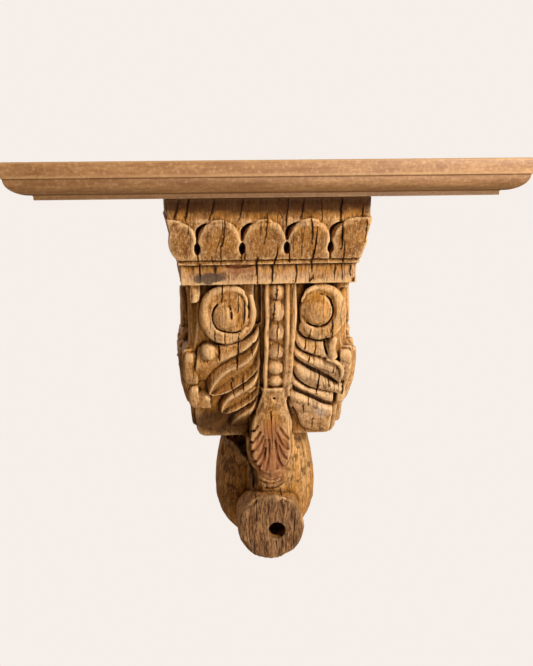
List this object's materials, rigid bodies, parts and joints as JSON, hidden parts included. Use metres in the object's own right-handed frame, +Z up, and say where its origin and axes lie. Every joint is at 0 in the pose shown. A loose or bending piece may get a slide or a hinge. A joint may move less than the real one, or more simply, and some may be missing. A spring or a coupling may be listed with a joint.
{
  "type": "carved corbel bracket with shelf",
  "caption": "Wall corbel bracket of old carved hardwood with petals, scrolls, leaves and a bulb foot, carrying a moulded wooden shelf board.",
  "frame": {"origin": "on the flat wall face of the corbel, in the middle of its width, 110 mm below the corbel's top", "axes": "+Z up, +Y into the wall, +X to the right seen from the front; the carved front faces -Y"},
  "size_m": [0.35, 0.175, 0.312],
  "materials": {
    "aged_teak": "weathered, open grain, drying cracks, worn edges",
    "shelf_wood": "smooth, satin, fine straight grain"
  },
  "bodies": {
    "root": {"corbel": "aged_teak", "shelf_board": "shelf_wood"}
  },
  "joints": []
}
